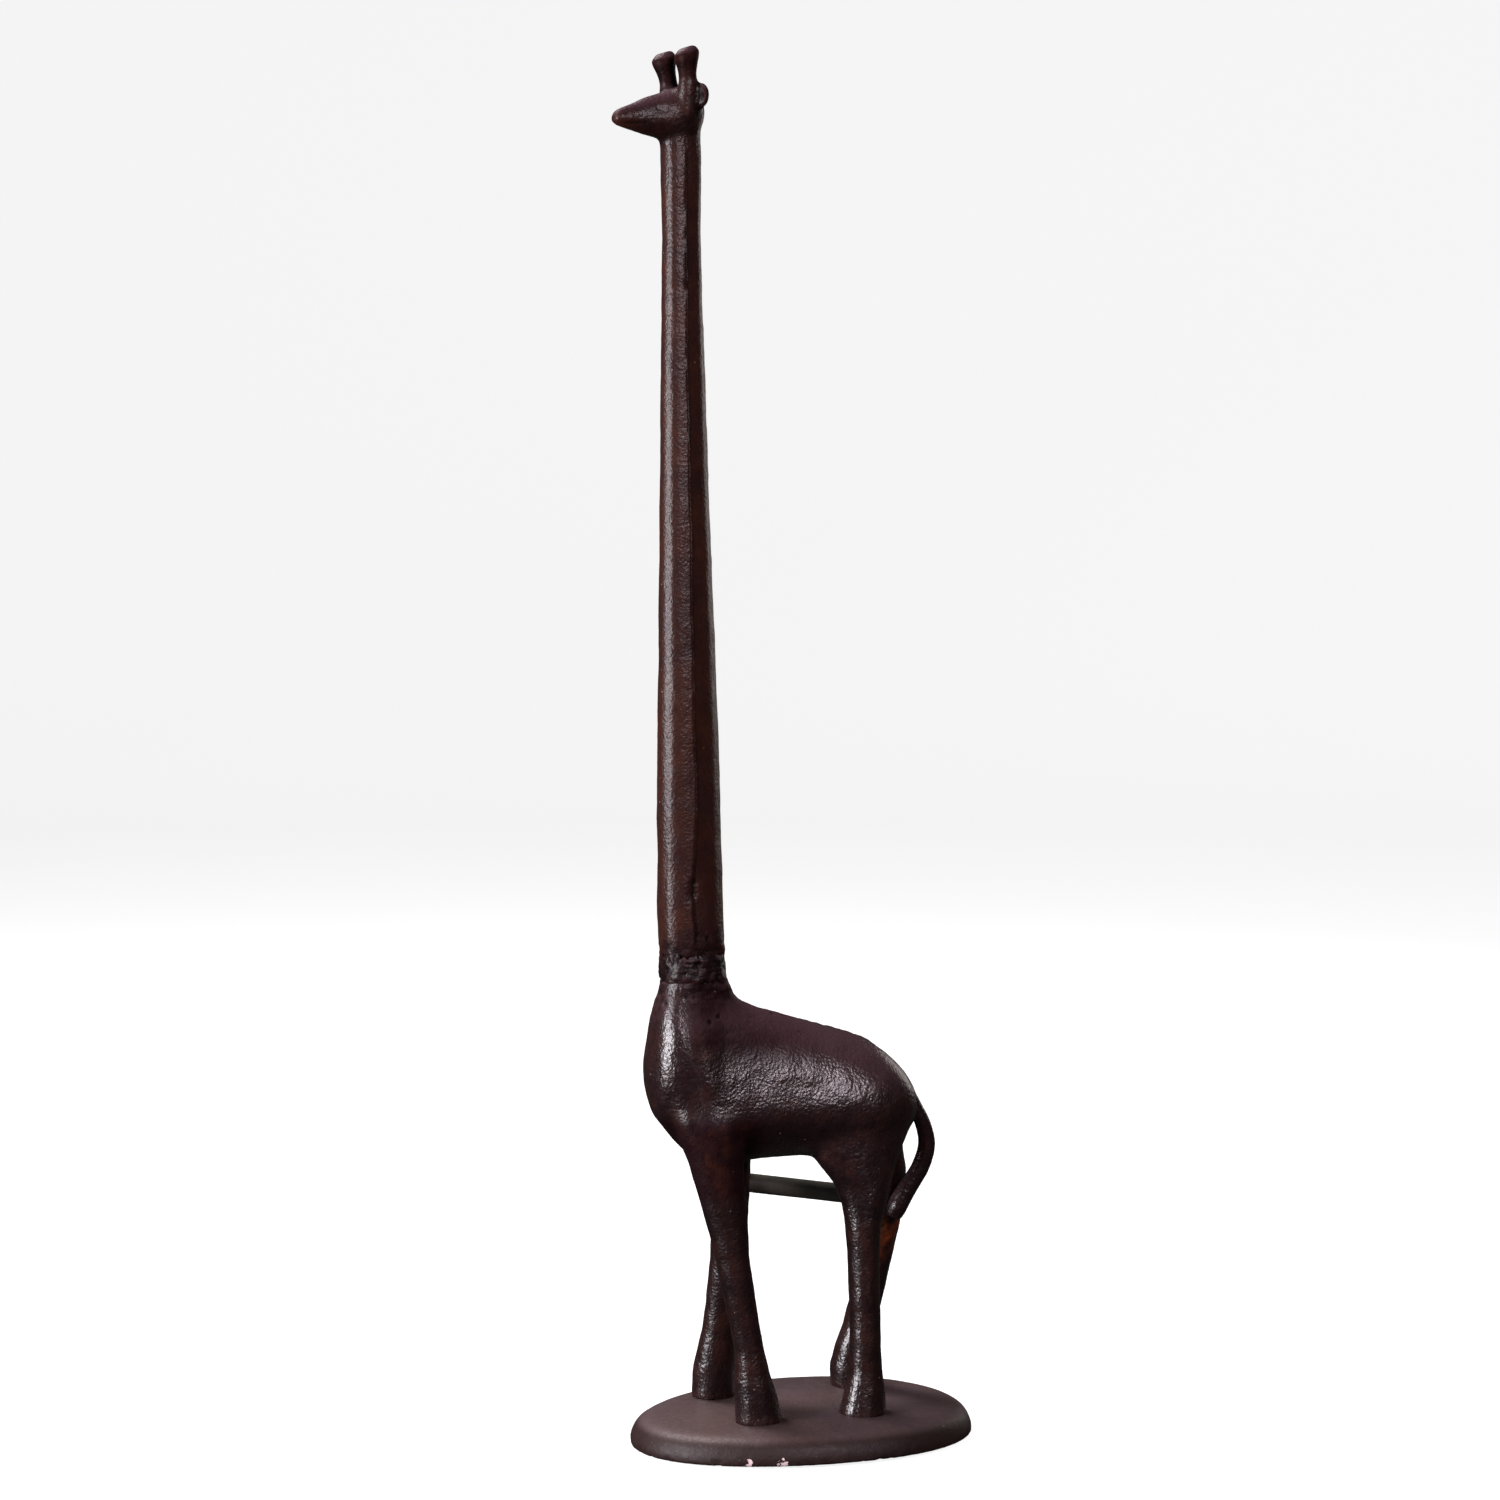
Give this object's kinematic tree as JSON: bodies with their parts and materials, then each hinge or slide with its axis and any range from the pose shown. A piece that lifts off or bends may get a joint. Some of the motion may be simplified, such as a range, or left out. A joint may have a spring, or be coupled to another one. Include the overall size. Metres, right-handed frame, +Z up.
{
  "type": "cast-iron giraffe roll stand",
  "caption": "Standing giraffe cast in dark enamelled iron on an oval base plate; its tall straight neck is the post that holds a paper roll upright.",
  "frame": {"origin": "centre of the overall box, at the level that the felt pads stand on", "axes": "+Z up along the neck; -X is where the muzzle points and +X is the tail; -Y is the giraffe's left side"},
  "size_m": [0.134, 0.0902, 0.4951],
  "materials": {
    "enamel": "dark purple-brown enamel over a grainy sand casting, half gloss",
    "base_enamel": "the same enamel on a smoother casting, satin",
    "bar_steel": "smooth drawn bar, dark green-grey lacquer",
    "zinc_steel": "zinc-plated fasteners",
    "felt": "black pressed felt"
  },
  "bodies": {
    "root": {"base_plate": "base_enamel", "base_pad_front_left": "felt", "base_pad_front_right": "felt", "base_pad_rear_left": "felt", "base_pad_rear_right": "felt", "hoof_screw_front_left": "zinc_steel", "hoof_screw_front_right": "zinc_steel", "hoof_screw_rear_left": "zinc_steel", "hoof_screw_rear_right": "zinc_steel", "hoof_washer_front_left": "zinc_steel", "hoof_washer_front_right": "zinc_steel", "hoof_washer_rear_left": "zinc_steel", "hoof_washer_rear_right": "zinc_steel", "body_left_half": "enamel", "body_right_half": "enamel", "tail": "enamel", "neck_and_head": "enamel", "neck_weld_bead": "enamel", "closing_screw": "zinc_steel", "neck_pin": "zinc_steel", "leg_tie_bar": "bar_steel"}
  },
  "joints": []
}
